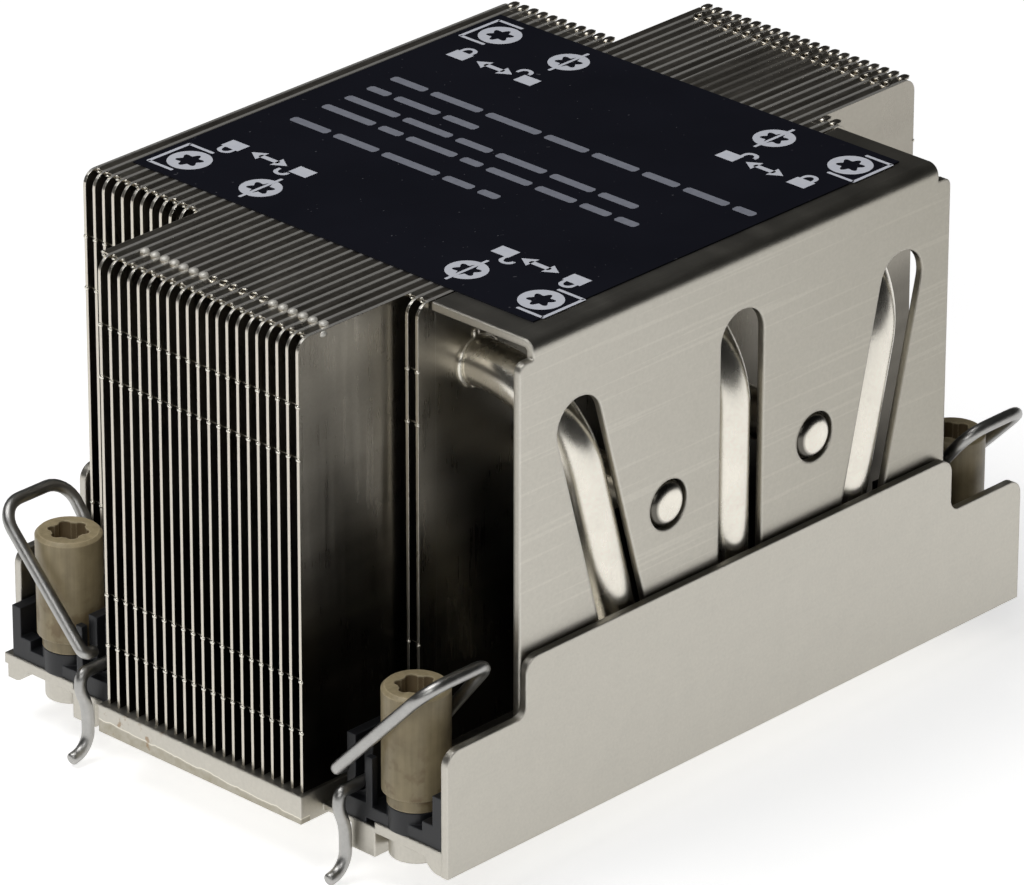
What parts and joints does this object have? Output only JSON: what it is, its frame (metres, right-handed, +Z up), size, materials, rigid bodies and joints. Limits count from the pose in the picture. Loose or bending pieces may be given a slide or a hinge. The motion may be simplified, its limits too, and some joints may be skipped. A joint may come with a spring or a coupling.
{
  "type": "passive server cpu heatsink",
  "caption": "Passive heatsink for a server processor: folded fin stack on a cast frame, heat pipes behind a slotted cover, captive corner nuts and swinging wire bails.",
  "frame": {"origin": "centre of the contact face under the base frame, where the heatsink meets the processor's lid", "axes": "+X along the airflow and the long fins, +Z up from the contact face to the fins' tops, -Y towards the side with the slotted cover"},
  "size_m": [0.1098, 0.0746, 0.068],
  "materials": {
    "cast_nickel": "nickel plated, satin",
    "contact_nickel": "nickel plated, ground",
    "cover_nickel": "nickel plated, satin",
    "label_black": "printed film",
    "pipe_nickel": "nickel plated, bright",
    "fin_nickel": "nickel plated, bright",
    "nut_plastic": "moulded beige, satin",
    "clip_plastic": "moulded black",
    "wire_steel": "drawn spring wire"
  },
  "bodies": {
    "heatsink": {"base_frame": "cast_nickel", "cold_plate": "contact_nickel", "slotted_cover": "cover_nickel", "label_film": "label_black", "heat_pipe_1": "pipe_nickel", "heat_pipe_2": "pipe_nickel", "heat_pipe_3": "pipe_nickel", "heat_pipe_4": "pipe_nickel", "heat_pipe_5": "pipe_nickel", "fin_01": "fin_nickel", "fin_02": "fin_nickel", "fin_03": "fin_nickel", "fin_04": "fin_nickel", "fin_05": "fin_nickel", "fin_06": "fin_nickel", "fin_07": "fin_nickel", "fin_08": "fin_nickel", "fin_09": "fin_nickel", "fin_10": "fin_nickel", "fin_11": "fin_nickel", "fin_12": "fin_nickel", "fin_13": "fin_nickel", "fin_14": "fin_nickel", "fin_15": "fin_nickel", "fin_16": "fin_nickel", "fin_17": "fin_nickel", "fin_18": "fin_nickel", "fin_19": "fin_nickel", "fin_20": "fin_nickel", "fin_21": "fin_nickel", "fin_22": "fin_nickel", "fin_23": "fin_nickel", "fin_24": "fin_nickel", "fin_25": "fin_nickel", "fin_26": "fin_nickel", "fin_27": "fin_nickel", "fin_28": "fin_nickel", "fin_29": "fin_nickel", "fin_30": "fin_nickel", "fin_31": "fin_nickel", "fin_32": "fin_nickel", "fin_33": "fin_nickel", "fin_34": "fin_nickel", "fin_35": "fin_nickel", "nut_clip_1": "clip_plastic", "nut_clip_2": "clip_plastic", "nut_clip_3": "clip_plastic", "nut_clip_4": "clip_plastic"},
    "nut_1": {"captive_nut_1": "nut_plastic"},
    "bail_1": {"anti_tilt_bail_1": "wire_steel"},
    "nut_2": {"captive_nut_2": "nut_plastic"},
    "bail_2": {"anti_tilt_bail_2": "wire_steel"},
    "nut_3": {"captive_nut_3": "nut_plastic"},
    "bail_3": {"anti_tilt_bail_3": "wire_steel"},
    "nut_4": {"captive_nut_4": "nut_plastic"},
    "bail_4": {"anti_tilt_bail_4": "wire_steel"}
  },
  "joints": [
    {"name": "nut_1_turn", "type": "hinge", "parent": "heatsink", "child": "nut_1", "pos_m": [-0.047, -0.029, 0.01], "axis": [0, 0, 1], "continuous": true},
    {"name": "bail_1_swing", "type": "hinge", "parent": "heatsink", "child": "bail_1", "pos_m": [-0.047, -0.0217, 0.0054], "axis": [-1, 0, 0], "range_deg": [-13, 44]},
    {"name": "nut_2_turn", "type": "hinge", "parent": "heatsink", "child": "nut_2", "pos_m": [-0.047, 0.029, 0.01], "axis": [0, 0, 1], "continuous": true},
    {"name": "bail_2_swing", "type": "hinge", "parent": "heatsink", "child": "bail_2", "pos_m": [-0.047, 0.0217, 0.0054], "axis": [1, 0, 0], "range_deg": [-13, 44]},
    {"name": "nut_3_turn", "type": "hinge", "parent": "heatsink", "child": "nut_3", "pos_m": [0.047, -0.029, 0.01], "axis": [0, 0, 1], "continuous": true},
    {"name": "bail_3_swing", "type": "hinge", "parent": "heatsink", "child": "bail_3", "pos_m": [0.047, -0.0217, 0.0054], "axis": [-1, 0, 0], "range_deg": [-13, 44]},
    {"name": "nut_4_turn", "type": "hinge", "parent": "heatsink", "child": "nut_4", "pos_m": [0.047, 0.029, 0.01], "axis": [0, 0, 1], "continuous": true},
    {"name": "bail_4_swing", "type": "hinge", "parent": "heatsink", "child": "bail_4", "pos_m": [0.047, 0.0217, 0.0054], "axis": [1, 0, 0], "range_deg": [-13, 44]}
  ]
}
